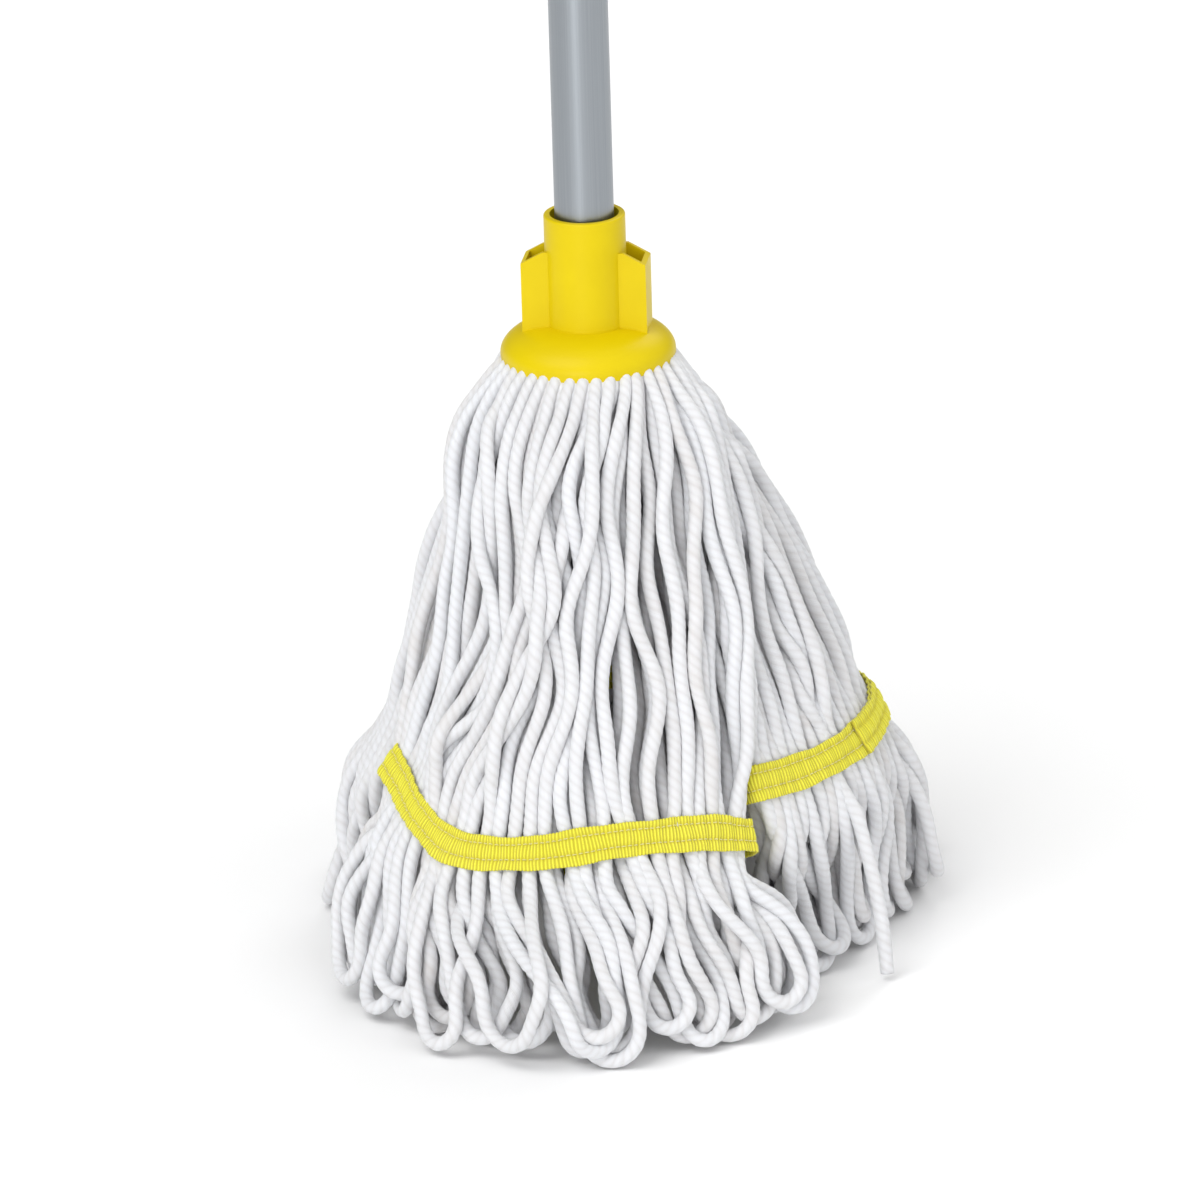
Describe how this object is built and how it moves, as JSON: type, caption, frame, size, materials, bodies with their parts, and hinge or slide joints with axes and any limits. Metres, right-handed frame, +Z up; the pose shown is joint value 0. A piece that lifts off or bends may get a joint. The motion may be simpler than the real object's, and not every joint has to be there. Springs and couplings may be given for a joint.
{
  "type": "string mop",
  "caption": "String mop: looped cotton yarn in banded tails, clamped in a moulded socket, with a push-in tubular handle that lifts out.",
  "frame": {"origin": "on the floor, under the handle's axis", "axes": "+Z up along the handle, +X through the socket's right wing, -Y towards the front tail"},
  "size_m": [0.2526, 0.3, 1.6635],
  "materials": {
    "socket_plastic": "satin",
    "clamp_plastic": "satin",
    "grip_plastic": "matte",
    "steel": "satin",
    "anodised_tube": "satin",
    "binding_tape": "matte",
    "yarn": "matte",
    "band_tape": "matte"
  },
  "bodies": {
    "mop_head": {"socket": "socket_plastic", "yarn_clamp": "clamp_plastic", "clamp_washer": "steel", "clamp_screw": "steel", "head_tape": "binding_tape", "front_yarn_1": "yarn", "front_yarn_2": "yarn", "front_yarn_3": "yarn", "front_yarn_4": "yarn", "right_yarn_1": "yarn", "right_yarn_2": "yarn", "right_yarn_3": "yarn", "right_yarn_4": "yarn", "left_yarn_1": "yarn", "left_yarn_2": "yarn", "left_yarn_3": "yarn", "left_yarn_4": "yarn", "front_band": "band_tape", "right_band": "band_tape", "left_band": "band_tape"},
    "handle": {"handle_tube": "anodised_tube", "handle_end_plug": "clamp_plastic", "hand_grip": "grip_plastic", "hanging_cap": "grip_plastic"}
  },
  "joints": [
    {"name": "handle_draw", "type": "slide", "parent": "mop_head", "child": "handle", "axis": [0, 0, 1], "range_m": [0, 0.07]}
  ]
}
